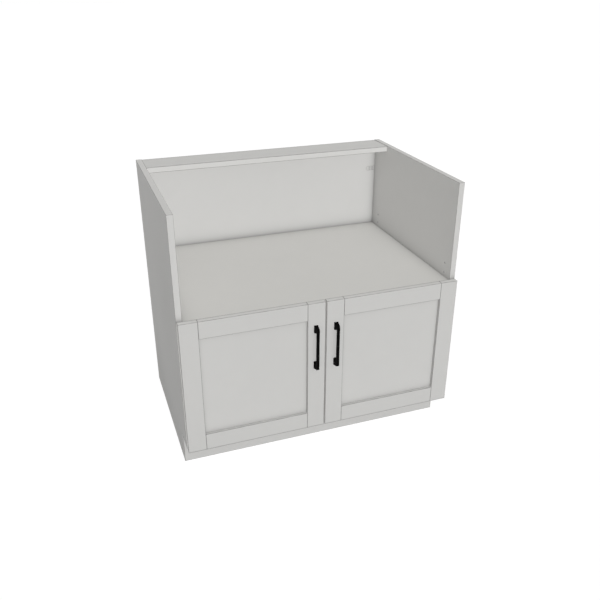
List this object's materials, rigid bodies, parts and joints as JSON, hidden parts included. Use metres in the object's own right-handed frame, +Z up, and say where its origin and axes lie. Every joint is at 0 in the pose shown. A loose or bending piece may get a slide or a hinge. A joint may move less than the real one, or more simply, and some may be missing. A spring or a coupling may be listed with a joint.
{
  "type": "farmhouse sink base cabinet",
  "caption": "Open-topped base cabinet with a low deck for an apron-front sink, above a cupboard with hinged panelled doors, slim bar pulls and a recessed toe kick.",
  "frame": {"origin": "middle of the whole box at floor level", "axes": "+X to the right when facing the doors, +Y from the doors to the wall, +Z up"},
  "size_m": [0.9144, 0.6526, 0.8763],
  "materials": {
    "painted_board": "board with a smooth satin paint coat in a light warm grey",
    "bare_timber": "planed softwood and beech, uncoated",
    "black_metal": "matt black powder coat",
    "bright_steel": "zinc-plated, satin",
    "plated_steel": "nickel-plated pressed steel and die-cast zinc",
    "soft_pad": "translucent soft pads"
  },
  "bodies": {
    "carcass": {"side_left": "painted_board", "side_right": "painted_board", "bottom_panel": "painted_board", "sink_deck": "painted_board", "deck_rail": "painted_board", "deck_cleat_left": "bare_timber", "deck_cleat_right": "bare_timber", "deck_cleat_back": "bare_timber", "back_panel": "painted_board", "port_plugs": "painted_board", "top_stretcher": "painted_board", "toe_kick": "painted_board", "wood_dowels": "bare_timber", "cam_bolts": "bright_steel", "cam_locks": "plated_steel", "cleat_screws": "bright_steel", "deck_screws": "bright_steel", "left_hinge_arms": "plated_steel", "left_hinge_plates": "plated_steel", "right_hinge_arms": "plated_steel", "right_hinge_plates": "plated_steel", "hinge_plate_screws": "plated_steel", "hinge_arm_screws": "plated_steel"},
    "left_door": {"left_hinge_stile": "painted_board", "left_pull_stile": "painted_board", "left_top_rail": "painted_board", "left_bottom_rail": "painted_board", "left_door_panel": "painted_board", "left_pull": "black_metal", "left_pull_screws": "bright_steel", "left_hinge_cups": "plated_steel", "left_hinge_pins": "bright_steel", "left_cup_screws": "bright_steel", "left_bumpers": "soft_pad"},
    "right_door": {"right_hinge_stile": "painted_board", "right_pull_stile": "painted_board", "right_top_rail": "painted_board", "right_bottom_rail": "painted_board", "right_door_panel": "painted_board", "right_pull": "black_metal", "right_pull_screws": "bright_steel", "right_hinge_cups": "plated_steel", "right_hinge_pins": "bright_steel", "right_cup_screws": "bright_steel", "right_bumpers": "soft_pad"}
  },
  "joints": [
    {"name": "left_door_swing", "type": "hinge", "parent": "carcass", "child": "left_door", "pos_m": [-0.44874, -0.296, 0], "axis": [0, 0, -1], "range_deg": [0, 95]},
    {"name": "right_door_swing", "type": "hinge", "parent": "carcass", "child": "right_door", "pos_m": [0.44874, -0.296, 0], "axis": [0, 0, 1], "range_deg": [0, 95]}
  ]
}
